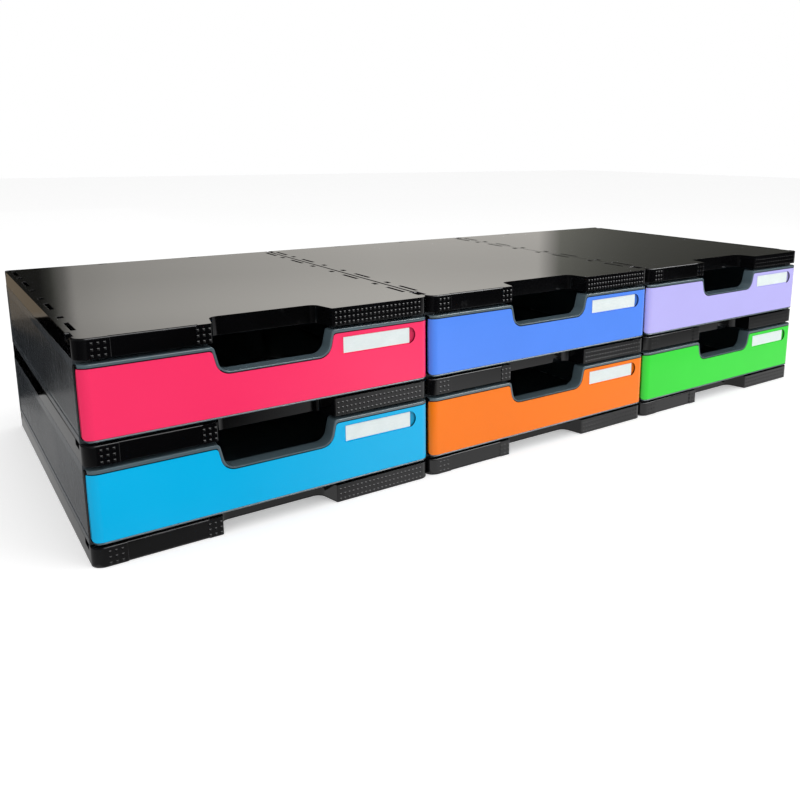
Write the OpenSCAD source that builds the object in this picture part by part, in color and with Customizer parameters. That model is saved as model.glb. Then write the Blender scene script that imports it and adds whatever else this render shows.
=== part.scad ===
// Modular document sorter: three columns of two drawers in stacking casings.
// Frame: X across the row, Y from front to back, Z up, origin on the floor at the middle.

/* [Casing] */
// Width of one column, centre to centre
unit_w = 339; // [320:1:380]
// Depth of a column, front face to back face
unit_d = 437; // [420:1:480]
// Height from one plate to the next
level_h = 91; // [84:1:120]
// Height of a plate and of its front band
plate_h = 18; // [16:0.5:22]
// Air gap between two columns
column_gap = 0.9; // [0.4:0.1:0.9]
// Radius of the front corners seen from above
corner_r = 11; // [8:0.5:14]
// Radius of the rear corners seen from above
rear_r = 3; // [2:0.5:6]
// Thickness of a plate's top
plate_t = 2.4; // [2:0.1:3]
// Thickness of a plate's rim
rim_t = 2.4; // [2:0.1:3]

/* [Finger notch of the plates] */
// Width of the notch at the front face
notch_w = 116; // [90:1:130]
// Width of the notch at its back wall
notch_back_w = 104; // [84:1:120]
// Depth of the notch from front to back
notch_d = 28; // [20:1:34]
// Radius of the notch's inner corners
notch_r = 10; // [6:0.5:14]
// Radius of the notch's outer corners
notch_edge_r = 1.2; // [0.6:0.1:1.8]

/* [Band and slots of the plates] */
// Distance from the side to the sunk part of the band
sunk_from = 28; // [20:1:36]
// Length of the sunk part of the band
sunk_w = 70; // [40:1:74]
// Depth of the sunk part of the band
sunk_d = 0.8; // [0.4:0.1:1.2]
// Distance from the side to the middle of the side slots
slot_in = 7.6; // [7:0.1:9]
// Width of the long side slots and of the rear slots
slot_w = 3.8; // [3.2:0.1:4.4]
// Length of the long side slots
slot_long = 36; // [28:1:40]
// Width of the short side slots
slot_short_w = 5; // [4:0.5:6]
// Length of the short side slots
slot_short = 9.5; // [7:0.5:12]
// Distance from the back to the middle of the rear slots
rear_slot_in = 6; // [5:0.5:7]
// Length of the rear slots
rear_slot_l = 9; // [7:0.5:24]
// Distance from the front to the middle of the first long slot
front_long_1 = 56; // [52:1:60]
// Distance from the front to the middle of the first short slot
front_short_1 = 101; // [96:1:106]
// Distance from the front to the middle of the second long slot
front_long_2 = 161; // [156:1:166]
// Distance from the front to the middle of the second short slot
front_short_2 = 210; // [205:1:215]
// Distance from the back to the middle of the first long slot
back_long_1 = 35; // [32:1:40]
// Distance from the back to the middle of the first short slot
back_short_1 = 76; // [72:1:80]
// Distance from the back to the middle of the second long slot
back_long_2 = 123; // [118:1:128]
// Distance from the back to the middle of the second short slot
back_short_2 = 173; // [168:1:178]
// Distance from the front to the pocket in the side
pocket_from = 15.5; // [15:0.5:18]
// Length of that pocket
pocket_l = 16; // [10:0.5:18]
// Distance from the back to the rear pocket in the side
rear_pocket_from = 5; // [4:0.5:8]
// Length of that rear pocket
rear_pocket_l = 9; // [6:0.5:10]
// Depth of the pockets into the side
pocket_d = 3.4; // [2.6:0.1:4]
// Height of the pockets
pocket_h = 6; // [4:0.5:9]
// Height of the stiffening ribs under a plate
rib_h = 6; // [4:0.5:8]
// Thickness of the stiffening ribs
rib_t = 1.6; // [1.2:0.1:2.4]
// Number of stiffening ribs across a plate
cross_ribs = 4; // [2:1:8]
// Number of stiffening ribs along a plate
long_ribs = 3; // [1:1:6]

/* [Walls] */
// Thickness of a side wall over its flanges
wall_w = 14; // [12.5:0.5:16]
// Thickness of the back wall over its flanges
back_w = 10; // [9:0.5:12]
// Thickness of the moulded skin of the walls
wall_t = 2.2; // [1.8:0.1:2.6]
// Number of bays between the webs of a side wall
wall_bays = 5; // [3:1:8]
// Number of bays between the webs of a back wall
back_bays = 4; // [2:1:6]
// Height of the tongues on top of a wall
tongue_h = 5; // [3:0.5:6]

/* [Drawer] */
// Gap between a drawer front and the band above it
front_gap_top = 3.5; // [2.4:0.1:5]
// Gap between a drawer front and the plate below it
front_gap_bottom = 2.7; // [2:0.1:4]
// Thickness of the tray's walls and floor
tray_t = 2; // [1.6:0.1:2.6]
// Gap between the tray and a side wall
tray_gap = 0.8; // [0.5:0.1:1.5]
// Gap between the closed tray and the back wall
tray_rear_gap = 2; // [1:0.5:6]
// Distance from the front's top edge down to the top of the tray's sides
tray_side_drop = 8; // [6:0.1:30]
// Depth of the hollow front behind its face
front_beam = 16.5; // [15:0.5:24]
// Width of the two runners under the tray
runner_w = 6; // [4:0.5:10]
// Width of a stop lug on the tray's back
lug_w = 24; // [16:1:32]
// Distance from the tray's side to the middle of a lug
lug_in = 48; // [30:1:60]
// Height by which a lug reaches into the plate above
lug_rise = 3.5; // [3:0.5:5]
// Thickness of a stop lug
lug_t = 3; // [2.4:0.2:4]
// Distance from the front face to the stop rib
stop_from = 90; // [80:1:136]

/* [Finger cut-out of the drawer] */
// Width of the cut-out at the drawer's top edge
cut_w = 115; // [90:1:130]
// Width of the cut-out at its bottom
cut_bottom_w = 104; // [82:1:120]
// Depth of the cut-out from the top edge
cut_d = 24.4; // [16:0.2:30]
// Radius of the lower corners of the cut-out
cut_r = 12; // [6:0.5:14]
// Radius of the upper edges of the cut-out
cut_edge_r = 3.5; // [2:0.5:5]
// Thickness of the lip around the cut-out
lip_t = 2.2; // [1.6:0.1:3]

/* [Coloured front] */
// Thickness of the coloured panel
panel_t = 2.8; // [2.6:0.1:3.2]
// Width of the grey border below the panel and around the cut-out
border = 2.2; // [1.4:0.1:3]
// Width of the grey border above the panel
border_top = 4; // [2:0.1:5]
// Width of the grey border beside the panel
border_side = 1; // [0.6:0.1:2]
// Radius of the drawer front's lower corners
front_r = 6; // [4:0.5:8]
// Radius of the drawer front's upper corners
front_top_r = 3; // [2.5:0.5:6]
// Distance from the drawer's right end to the middle of the label
label_from_right = 62; // [52:1:66]
// Distance from the drawer's top edge to the middle of the label
label_from_top = 16.6; // [13:0.2:24]
// Width of the label card
label_w = 75.5; // [50:0.5:76]
// Height of the label card
label_h = 16; // [10:0.5:16.5]
// Thickness of the label card
label_t = 0.4; // [0.3:0.1:0.8]
// Width of the label recess
recess_w = 89; // [80:1:90]
// Height of the label recess
recess_h = 18; // [17:0.5:20]
// Depth of the label recess
recess_d = 1.3; // [1:0.1:1.4]
// Further depth of the recess at its thumb end
thumb_d = 0.9; // [0.4:0.1:1]

/* [Clearances] */
// Clearance under the runners of a drawer
slide_gap = 0.3; // [0.2:0.05:0.6]
// Clearance around a fixed piece that plugs in
fit_gap = 0.3; // [0.2:0.05:0.35]
// Clearance behind and around a panel or card
panel_gap = 0.1; // [0.05:0.05:0.2]
// Clearance of a drawer at its stops
stop_gap = 0.4; // [0.3:0.1:1]

/* [Hidden] */
COLUMNS = ["left", "centre", "right"];
LEVELS = ["lower", "upper"];
NODES = [
    "left_base", "centre_base", "right_base",
    "left_shelf", "centre_shelf", "right_shelf",
    "left_top", "centre_top", "right_top",
    "left_lower_wall_l", "centre_lower_wall_l", "right_lower_wall_l",
    "left_lower_wall_r", "centre_lower_wall_r", "right_lower_wall_r",
    "left_upper_wall_l", "centre_upper_wall_l", "right_upper_wall_l",
    "left_upper_wall_r", "centre_upper_wall_r", "right_upper_wall_r",
    "left_lower_back", "centre_lower_back", "right_lower_back",
    "left_upper_back", "centre_upper_back", "right_upper_back",
    "left_lower_tray", "centre_lower_tray", "right_lower_tray",
    "left_upper_tray", "centre_upper_tray", "right_upper_tray",
    "left_lower_front", "centre_lower_front", "right_lower_front",
    "left_upper_front", "centre_upper_front", "right_upper_front",
    "left_lower_label", "centre_lower_label", "right_lower_label",
    "left_upper_label", "centre_upper_label", "right_upper_label"
];
node = "all";

// Colours of the six drawer fronts, lower row first, then of the other pieces
FRONT_COLOURS = [["deepskyblue", "darkorange", "limegreen"], ["hotpink", "cornflowerblue", "plum"]];
CASING_COLOUR = [0.09, 0.09, 0.1];
WALL_COLOUR = [0.2, 0.21, 0.23];
TRAY_COLOUR = [0.25, 0.3, 0.33];
CARD_COLOUR = [0.95, 0.96, 0.96];

// Half a turn in degrees, overcut past a face, steps in a rounded corner, least radius of an inner outline
half_turn = 180;
over = 1;
arc_steps = 10;
least_r = 0.4;
// Straight run of the drawer front's side behind its rounded corner
corner_run = 0.5;

// Sizes that follow from the driving dimensions
body_w = unit_w - column_gap;
mid_x = body_w / 2;
cell_h = level_h - plate_h;
front_d = corner_r + corner_run;
front_low = front_gap_bottom;
front_high = cell_h - front_gap_top;
wall_front = front_d + stop_gap;
tray_x = wall_w + tray_gap;
tray_w = body_w - 2 * tray_x;
tray_d = unit_d - back_w - tray_rear_gap;
tray_side_top = front_high - tray_side_drop;
label_x = body_w - label_from_right;
label_z = front_high - label_from_top;
tab_w = slot_w - 2 * fit_gap;
tab_h = plate_t - fit_gap;

// Middles of the side slots, measured from the front
LONG_SLOTS = [front_long_1, front_long_2, unit_d - back_long_2, unit_d - back_long_1];
SHORT_SLOTS = [front_short_1, front_short_2, unit_d - back_short_2, unit_d - back_short_1];
// Start and length of the pockets in a side, measured from the front
POCKETS = [[pocket_from, pocket_l], [unit_d - rear_pocket_from - rear_pocket_l, rear_pocket_l]];
// Rear slots stand in line with the notch, on both sides of the middle
rear_slot_x = [mid_x - notch_w / 2, mid_x + notch_w / 2];
// The ribs under a plate keep clear of the strips that hold the slots
rib_side = slot_in + slot_short_w / 2 + rib_t;
rib_end = unit_d - rear_slot_in - slot_w;

// Outline helpers: a polygon whose corners are rounded, each by its own radius
function unit_of(v) = v / norm(v);
function arc_at(before, corner, after, r) =
    let (
        a = unit_of(before - corner),
        b = unit_of(after - corner),
        half = acos(a * b) / 2,
        centre = corner + unit_of(a + b) * r / sin(half),
        first = corner + a * r / tan(half) - centre,
        last = corner + b * r / tan(half) - centre,
        start = atan2(first.y, first.x),
        sweep = (atan2(last.y, last.x) - start + 3 * half_turn) % (2 * half_turn) - half_turn,
        step = sweep / arc_steps
    )
    [for (i = [0:arc_steps]) centre + r * [cos(start + i * step), sin(start + i * step)]];
function rounded(pts, radii) =
    let (n = len(pts))
    [for (i = [0:n - 1]) each radii[i] > 0
        ? arc_at(pts[(i + n - 1) % n], pts[i], pts[(i + 1) % n], radii[i])
        : [pts[i]]];

// A plate seen from above, drawn in from its edges by inset
function plate_outline(inset) = rounded(
    [
        [inset, inset],
        [mid_x - notch_w / 2 - inset, inset],
        [mid_x - notch_back_w / 2 - inset, notch_d + inset],
        [mid_x + notch_back_w / 2 + inset, notch_d + inset],
        [mid_x + notch_w / 2 + inset, inset],
        [body_w - inset, inset],
        [body_w - inset, unit_d - inset],
        [inset, unit_d - inset]
    ],
    [corner_r - inset, notch_edge_r, notch_r + inset, notch_r + inset, notch_edge_r, corner_r - inset,
        max(rear_r - inset, 0), max(rear_r - inset, 0)]
);

// The drawer front seen from above, drawn in from its face by inset
function front_plan(inset) = rounded(
    [[inset, front_d + over], [inset, inset], [body_w - inset, inset], [body_w - inset, front_d + over]],
    [0, corner_r - inset, corner_r - inset, 0]
);

// The drawer front seen from the front, drawn in from its lower edge and cut-out, its ends and its top
function front_face(inset, side, top) =
    let (
        low = front_low + inset,
        high = front_high - top,
        floor_z = front_high - cut_d - inset,
        slope = (cut_w - cut_bottom_w) / 2 / cut_d,
        low_half = cut_bottom_w / 2 + inset,
        top_half = low_half + slope * (high - floor_z),
        low_r = max(front_r - inset, least_r),
        high_r = max(front_top_r - top, least_r)
    )
    rounded(
        [
            [side, low], [body_w - side, low], [body_w - side, high],
            [mid_x + top_half, high], [mid_x + low_half, floor_z],
            [mid_x - low_half, floor_z], [mid_x - top_half, high], [side, high]
        ],
        [low_r, low_r, high_r, cut_edge_r, cut_r + inset, cut_r + inset, cut_edge_r, high_r]
    );

// The coloured panel's outline, grown by a margin
function panel_face(margin) = front_face(border - margin, border_side - margin, border_top - margin);

// The outside of the lip around the cut-out, open above the drawer's top edge
function lip_shape() =
    let (
        slope = (cut_w - cut_bottom_w) / 2 / cut_d,
        top_half = cut_w / 2 + lip_t + slope * over,
        low_half = cut_bottom_w / 2 + lip_t
    )
    rounded(
        [
            [mid_x - top_half, front_high + over], [mid_x - low_half, front_high - cut_d - lip_t],
            [mid_x + low_half, front_high - cut_d - lip_t], [mid_x + top_half, front_high + over]
        ],
        [0, cut_r + lip_t, cut_r + lip_t, 0]
    );

// Places a piece in column i, with its own x = 0 at the column's left face
module in_column(i) {
    translate([(i - len(COLUMNS) / 2) * unit_w + column_gap / 2, -unit_d / 2, 0]) children();
}

// Places a piece on top of plate number n, counted from the floor
module on_plate(i, n) {
    in_column(i) translate([0, 0, n * level_h + plate_h]) children();
}

// Extrudes an outline drawn in the XZ plane from y = from to y = to
module along_y(from, to) {
    translate([0, to, 0]) rotate([90, 0, 0]) linear_extrude(to - from) children();
}

// Mirrors its child to the right half of a column, and keeps the left one
module both_sides() {
    children();
    translate([body_w, 0, 0]) mirror([1, 0, 0]) children();
}

// All slots through a plate's top
module plate_slots() {
    both_sides() {
        for (y = LONG_SLOTS)
            translate([slot_in - slot_w / 2, y - slot_long / 2, plate_h - plate_t - over])
                cube([slot_w, slot_long, plate_t + 2 * over]);
        for (y = SHORT_SLOTS)
            translate([slot_in - slot_short_w / 2, y - slot_short / 2, plate_h - plate_t - over])
                cube([slot_short_w, slot_short, plate_t + 2 * over]);
    }
    for (x = rear_slot_x)
        translate([x - rear_slot_l / 2, unit_d - rear_slot_in - slot_w / 2, plate_h - plate_t - over])
            cube([rear_slot_l, slot_w, plate_t + 2 * over]);
}

// Stiffening ribs under a plate, and the full-height rib that stops the drawer below
module plate_ribs() {
    rib_z = plate_h - plate_t - rib_h;
    first = stop_from + rim_t;
    width = body_w - 2 * rib_side;
    for (k = [1:cross_ribs])
        translate([rib_side, first + (rib_end - first) * k / (cross_ribs + 1), rib_z])
            cube([width, rib_t, rib_h + plate_t / 2]);
    for (k = [1:long_ribs])
        translate([body_w * k / (long_ribs + 1) - rib_t / 2, first - over, rib_z])
            cube([rib_t, rib_end - first + over, rib_h + plate_t / 2]);
    translate([rib_side, stop_from, 0]) cube([width, rim_t, plate_h - plate_t / 2]);
}

// One plate: base, shelf and top are the same moulding
module plate() {
    color(CASING_COLOUR) difference() {
        union() {
            difference() {
                linear_extrude(plate_h) polygon(plate_outline(0));
                translate([0, 0, -over]) linear_extrude(plate_h - plate_t + over) polygon(plate_outline(rim_t));
            }
            plate_ribs();
            both_sides() for (run = POCKETS)
                translate([rim_t / 2, run[0] - rim_t, plate_h - pocket_h - rim_t])
                    cube([pocket_d + rim_t / 2, run[1] + 2 * rim_t, pocket_h + rim_t / 2]);
        }
        plate_slots();
        both_sides() for (run = POCKETS)
            translate([-over, run[0], plate_h - pocket_h]) cube([pocket_d + over, run[1], pocket_h + over]);
        translate([sunk_from, -over, -over]) cube([sunk_w, sunk_d + over, plate_h + 2 * over]);
    }
}

// One side wall, a C section with webs, open towards the drawer
module side_wall() {
    length = unit_d - wall_front;
    bay = (length - wall_t) / wall_bays;
    color(WALL_COLOUR) {
        difference() {
            translate([0, wall_front, 0]) cube([wall_w, length, cell_h]);
            for (k = [0:wall_bays - 1])
                translate([wall_t, wall_front + wall_t + k * bay, wall_t])
                    cube([wall_w, bay - wall_t, cell_h - 2 * wall_t]);
        }
        for (y = LONG_SLOTS) {
            translate([slot_in - tab_w / 2, y - slot_long / 2 + fit_gap, -tab_h])
                cube([tab_w, slot_long - 2 * fit_gap, tab_h + wall_t / 2]);
            translate([rim_t + fit_gap, y - slot_long / 2, cell_h - wall_t / 2])
                cube([wall_t, slot_long, tongue_h + wall_t / 2]);
        }
    }
}

// One back wall, a shallow C section between the two side walls
module back_wall() {
    from_x = wall_w + fit_gap;
    length = body_w - 2 * from_x;
    bay = (length - wall_t) / back_bays;
    color(WALL_COLOUR) {
        difference() {
            translate([from_x, unit_d - back_w, 0]) cube([length, back_w, cell_h]);
            for (k = [0:back_bays - 1])
                translate([from_x + wall_t + k * bay, unit_d - back_w - over, wall_t])
                    cube([bay - wall_t, back_w - wall_t + over, cell_h - 2 * wall_t]);
        }
        for (x = rear_slot_x) {
            translate([x - rear_slot_l / 2 + fit_gap, unit_d - rear_slot_in - tab_w / 2, -tab_h])
                cube([rear_slot_l - 2 * fit_gap, tab_w, tab_h + wall_t / 2]);
            translate([x - rear_slot_l / 2, unit_d - rim_t - fit_gap - wall_t, cell_h - wall_t / 2])
                cube([rear_slot_l, wall_t, tongue_h + wall_t / 2]);
        }
    }
}

// The grey frame of the drawer front, hollow behind, with a seat for the panel
module front_frame() {
    seat = panel_t + panel_gap;
    difference() {
        intersection() {
            along_y(0, front_d) polygon(front_face(0, 0, 0));
            linear_extrude(cell_h) polygon(front_plan(0));
        }
        intersection() {
            along_y(-over, front_d + over) polygon(panel_face(panel_gap));
            difference() {
                translate([-over, -over, 0]) cube([body_w + 2 * over, front_d + over, cell_h]);
                translate([0, 0, -over]) linear_extrude(cell_h + 2 * over) polygon(front_plan(seat));
            }
        }
        intersection() {
            along_y(-over, front_d + over) polygon(front_face(tray_t, tray_t, tray_t));
            translate([0, 0, -over]) linear_extrude(cell_h + 2 * over) polygon(front_plan(seat + tray_t));
        }
    }
}

// The tray: floor, sides, back with stop lugs, hollow front and its lip
module tray() {
    face_back = panel_t + panel_gap + tray_t;
    color(TRAY_COLOUR) {
        difference() {
            union() {
                front_frame();
                translate([tray_x, front_beam - tray_t, front_low])
                    cube([tray_w, tray_d - front_beam + tray_t, tray_t]);
                for (x = [tray_x, tray_x + tray_w - tray_t]) {
                    translate([x, face_back - tray_t / 2, front_low])
                        cube([tray_t, tray_d - face_back + tray_t / 2, tray_side_top - front_low]);
                    translate([x, face_back - tray_t / 2, front_low])
                        cube([tray_t, front_beam - face_back + tray_t / 2, front_high - front_low]);
                }
                translate([tray_x, tray_d - tray_t, front_low])
                    cube([tray_w, tray_t, tray_side_top - front_low]);
                translate([tray_x, front_beam - tray_t, front_low])
                    cube([tray_w, tray_t, front_high - front_low]);
                translate([tray_x, face_back - tray_t / 2, front_high - tray_t])
                    cube([tray_w, front_beam - face_back + tray_t / 2, tray_t]);
                intersection() {
                    along_y(face_back - tray_t / 2, front_beam) polygon(lip_shape());
                    translate([tray_x, 0, front_low]) cube([tray_w, front_beam, front_high - front_low]);
                }
            }
            along_y(face_back - tray_t, front_beam + over) difference() {
                translate([mid_x - cut_w, front_high - cut_d - over]) square([2 * cut_w, cut_d + 2 * over]);
                polygon(front_face(0, 0, 0));
            }
        }
        for (x = [tray_x + runner_w, tray_x + tray_w - 2 * runner_w])
            translate([x, front_beam, slide_gap])
                cube([runner_w, tray_d - front_beam, front_low - slide_gap + tray_t / 2]);
        both_sides() translate([tray_x + lug_in - lug_w / 2, tray_d - lug_t, tray_side_top - lug_t])
            cube([lug_w, lug_t, cell_h + lug_rise - tray_side_top + lug_t]);
    }
}

// A stadium shape in the XZ plane around the label's middle
module stadium(w, h) {
    translate([label_x, label_z]) {
        square([w - h, h], center = true);
        for (side = [-1, 1]) translate([side * (w - h) / 2, 0]) circle(d = h, $fn = 8 * arc_steps);
    }
}

// The coloured panel, bent round the front corners, with the label recess
module front_panel() {
    difference() {
        intersection() {
            along_y(0, front_d) polygon(panel_face(0));
            difference() {
                linear_extrude(cell_h) polygon(front_plan(0));
                translate([0, 0, -over]) linear_extrude(cell_h + 2 * over) polygon(front_plan(panel_t));
            }
        }
        along_y(-over, recess_d) stadium(recess_w, recess_h);
        along_y(-over, recess_d + thumb_d) intersection() {
            stadium(recess_w, recess_h);
            translate([label_x + label_w / 2 + panel_gap, 0]) square([recess_w, cell_h]);
        }
    }
}

// The paper card that lies in the label recess
module label_card() {
    color(CARD_COLOUR) translate([label_x - label_w / 2, recess_d - panel_gap - label_t, label_z - label_h / 2])
        cube([label_w, label_t, label_h]);
}

// Whether the piece of column i that ends in this name is wanted
function wanted(i, ending) = node == "all" || node == str(COLUMNS[i], ending);

for (i = [0:2]) if (wanted(i, "_base")) in_column(i) plate();
for (i = [0:2]) if (wanted(i, "_shelf")) in_column(i) translate([0, 0, level_h]) plate();
for (i = [0:2]) if (wanted(i, "_top")) in_column(i) translate([0, 0, 2 * level_h]) plate();
for (i = [0:2], n = [0:1]) if (wanted(i, str("_", LEVELS[n], "_wall_l"))) on_plate(i, n) side_wall();
for (i = [0:2], n = [0:1]) if (wanted(i, str("_", LEVELS[n], "_wall_r")))
    on_plate(i, n) translate([body_w, 0, 0]) mirror([1, 0, 0]) side_wall();
for (i = [0:2], n = [0:1]) if (wanted(i, str("_", LEVELS[n], "_back"))) on_plate(i, n) back_wall();
for (i = [0:2], n = [0:1]) if (wanted(i, str("_", LEVELS[n], "_tray"))) on_plate(i, n) tray();
for (i = [0:2], n = [0:1]) if (wanted(i, str("_", LEVELS[n], "_front")))
    on_plate(i, n) color(FRONT_COLOURS[n][i]) front_panel();
for (i = [0:2], n = [0:1]) if (wanted(i, str("_", LEVELS[n], "_label"))) on_plate(i, n) label_card();
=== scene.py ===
# %% [markdown]
# # A row of drawer sorters in plastic, piece by piece
# The object is a document sorter: three columns, each of two flat drawers between three black
# plates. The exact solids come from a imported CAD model, which is loaded first and never moved. Every
# piece made here takes its place from those solids, so nothing has to be fitted by eye.

# %% Load the fixed frame
import math
import bmesh
import bpy
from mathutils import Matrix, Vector
from mathutils.bvhtree import BVHTree


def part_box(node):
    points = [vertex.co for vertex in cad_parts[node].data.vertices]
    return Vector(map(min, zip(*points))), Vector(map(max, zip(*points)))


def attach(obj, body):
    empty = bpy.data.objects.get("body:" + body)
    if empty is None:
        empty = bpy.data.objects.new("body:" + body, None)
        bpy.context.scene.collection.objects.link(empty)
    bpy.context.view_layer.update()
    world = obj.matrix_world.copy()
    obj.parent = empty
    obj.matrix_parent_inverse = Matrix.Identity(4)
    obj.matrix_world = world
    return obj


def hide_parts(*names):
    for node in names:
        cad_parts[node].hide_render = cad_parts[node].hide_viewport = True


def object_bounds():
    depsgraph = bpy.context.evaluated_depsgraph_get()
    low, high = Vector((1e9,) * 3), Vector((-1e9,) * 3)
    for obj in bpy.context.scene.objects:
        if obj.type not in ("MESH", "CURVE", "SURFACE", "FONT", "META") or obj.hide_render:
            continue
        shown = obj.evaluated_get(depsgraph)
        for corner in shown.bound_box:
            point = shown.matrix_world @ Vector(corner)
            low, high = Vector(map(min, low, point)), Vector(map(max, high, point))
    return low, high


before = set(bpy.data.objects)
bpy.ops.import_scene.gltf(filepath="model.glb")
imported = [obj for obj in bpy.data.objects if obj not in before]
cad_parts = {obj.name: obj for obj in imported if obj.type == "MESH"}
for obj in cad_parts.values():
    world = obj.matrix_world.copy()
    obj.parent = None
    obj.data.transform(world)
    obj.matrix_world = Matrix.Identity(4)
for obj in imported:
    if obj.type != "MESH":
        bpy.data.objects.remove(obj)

cad_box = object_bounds()
print("CAD nodes:", len(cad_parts))
print("CAD box:", [[round(value, 4) for value in corner] for corner in cad_box])

# %% [markdown]
# ## Sizes
# The CAD is in metres, but moulded plastic is easier to read in millimetres. The main sizes could be typed
# in again, but then a change to the solids would leave them behind, so they are read from the solids. The
# small ones, such as the pitch of the studs, are in no solid. They were measured on the photograph.

# %% Sizes of a column, in millimetres
MM = 0.001
COLUMNS = ("left", "centre", "right")
LEVELS = ("lower", "upper")
PLATES = ("base", "shelf", "top")


def size_mm(node):
    low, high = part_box(node)
    return (high - low) / MM


def corner_mm(node):
    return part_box(node)[0] / MM


plate_size = size_mm("left_base")
wall_size = size_mm("left_upper_wall_l")
print("plate", [round(value, 1) for value in plate_size], "wall", [round(value, 1) for value in wall_size])

# %% [markdown]
# ## Soft edges for moulded plastic
# A mould never gives a knife edge. Each real edge has a small radius that catches the light as a thin
# bright line, and that line is most of what says "plastic" to the eye. One way is to model every piece
# again with its radii. A quicker way, used here, is to copy the exact solid, join its loose triangles
# into flat faces, and bevel the edges that turn by more than a set angle.
#
# A radius that is wider than the face beside it folds the mesh over itself. So the edges are first sorted
# into runs, which are chains of edges that turn gently from one to the next, and each run has one width.
# Then every face states rules: two strips that face each other share the face's width, and the strips at
# both ends of an edge share its length. Widths that break a rule shrink until all rules hold. The Bevel
# modifier takes the widths as weights. It also gives the new strips a material number, which becomes a
# face attribute, so that a finish can be a little worn just there.

# %% Copy a solid and join its flat faces
SAME_POINT = 0.002
FLAT_ANGLE = math.radians(0.6)


def joined_copy(node):
    form = bmesh.new()
    form.from_mesh(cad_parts[node].data)
    bmesh.ops.remove_doubles(form, verts=form.verts, dist=SAME_POINT * MM)
    bmesh.ops.dissolve_limit(form, angle_limit=FLAT_ANGLE, verts=form.verts, edges=form.edges)
    return form


sample = joined_copy("left_upper_label")
print("a label card has", len(sample.faces), "faces once its triangles are joined")

# %% Sort sharp edges into runs
SHARP = math.radians(28)
SAME_RUN = math.radians(40)


def runs_of(edges):
    """Joins edges that follow each other gently. Returns a list of lists."""
    waiting, runs = set(edges), []
    while waiting:
        run, ends = [], [waiting.pop()]
        while ends:
            edge = ends.pop()
            run.append(edge)
            for corner in edge.verts:
                others = [other for other in corner.link_edges if other in edges and other is not edge]
                if len(others) != 1 or others[0] not in waiting:
                    continue
                first = (edge.other_vert(corner).co - corner.co).normalized()
                second = (corner.co - others[0].other_vert(corner).co).normalized()
                if first.dot(second) > math.cos(SAME_RUN):
                    waiting.discard(others[0])
                    ends.append(others[0])
        runs.append(run)
    return runs


sample_runs = runs_of(set(sample.edges))
print("its", len(sample.edges), "edges make", len(sample_runs), "runs")

# %% State the rules for the widths on a face
FILL = 0.9
STRAIGHT = math.radians(4)
TOUCHING = 1e-7


def used_at_corner(normal, along, onward, own, other):
    """The length that a corner takes, as shares of the edge's own width and of the other's."""
    turn = math.atan2(normal.dot(along.cross(onward)), along.dot(onward))
    if abs(turn) < STRAIGHT:
        return [(own, math.tan(turn / 2))]
    return [(own, -math.cos(turn) / math.sin(turn)), (other, 1 / math.sin(turn))]


def length_rule(loop, run_of):
    """The strips at both ends of an edge share its length."""
    before, after = loop.link_loop_prev, loop.link_loop_next
    along = (after.vert.co - loop.vert.co).normalized()
    earlier = (loop.vert.co - before.vert.co).normalized()
    later = (after.link_loop_next.vert.co - after.vert.co).normalized()
    own, normal = run_of.get(loop.edge), loop.face.normal
    shares = used_at_corner(normal, earlier, along, own, run_of.get(before.edge))
    shares += used_at_corner(normal, along, later, own, run_of.get(after.edge))
    return FILL * loop.edge.calc_length(), [(run, share) for run, share in shares if run is not None]


def width_rules(loop, run_of, reach):
    """What lies across the face from three points on an edge, up to a reach."""
    start, end = loop.vert.co, loop.link_loop_next.vert.co
    along = (end - start).normalized()
    inward = loop.face.normal.cross(along)
    outline = [(other.vert.co - start, other.edge) for other in loop.face.loops]
    outline = [(step.dot(along), step.dot(inward), edge) for step, edge in outline]
    rules = []
    for share in (0.04, 0.5, 0.96):
        at = (end - start).length * share
        for (x1, y1, edge), (x2, y2, _) in zip(outline, outline[1:] + outline[:1]):
            if edge is loop.edge or (x1 - at) * (x2 - at) > 0 or x1 == x2:
                continue
            height = y1 + (y2 - y1) * (at - x1) / (x2 - x1)
            if TOUCHING < height < reach:
                runs = [run_of[one] for one in (loop.edge, edge) if one in run_of]
                rules.append((FILL * height, [(run, 1.0) for run in runs]))
    return rules


print("a rule is a length with the runs that share it, and they fill", FILL, "of it at most")


# %% Shrink the widths until they keep the rules
def settle(widths, rules, rounds=12):
    for turn in range(rounds):
        for limit, shares in rules:
            total = sum(widths[run] * share for run, share in shares)
            if total > limit:
                for run, share in shares:
                    if share > 0:
                        widths[run] *= max(limit, 0) / total
    return widths


def fitted_widths(form, runs, wanted):
    run_of = {edge: number for number, run in enumerate(runs) for edge in run}
    rules = []
    for face in form.faces:
        for loop in face.loops:
            rules.append(length_rule(loop, run_of))
            if loop.edge in run_of:
                rules += width_rules(loop, run_of, 2.2 * max(wanted))
    return settle(list(wanted), [rule for rule in rules if rule[1]])


kept = fitted_widths(sample, sample_runs, [1.0 * MM] * len(sample_runs))
print("a 1 mm radius on the card shrinks to", sorted({round(width / MM, 2) for width in kept}), "mm")
sample.free()

# %% Bevel the runs and keep a plain mesh
WEAR = "edge_wear"
LEAST_WIDTH = 0.02
SMOOTH_TO = math.radians(38)


def plain_mesh(source, name):
    """The evaluated mesh of an object, which is removed with its modifiers."""
    evaluated = source.evaluated_get(bpy.context.evaluated_depsgraph_get())
    mesh = bpy.data.meshes.new_from_object(evaluated)
    mesh.name = name
    source.modifiers.clear()
    bpy.data.objects.remove(source)
    return mesh


def placed(name, mesh):
    made = bpy.data.objects.new(name, mesh)
    bpy.context.scene.collection.objects.link(made)
    return made


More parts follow.
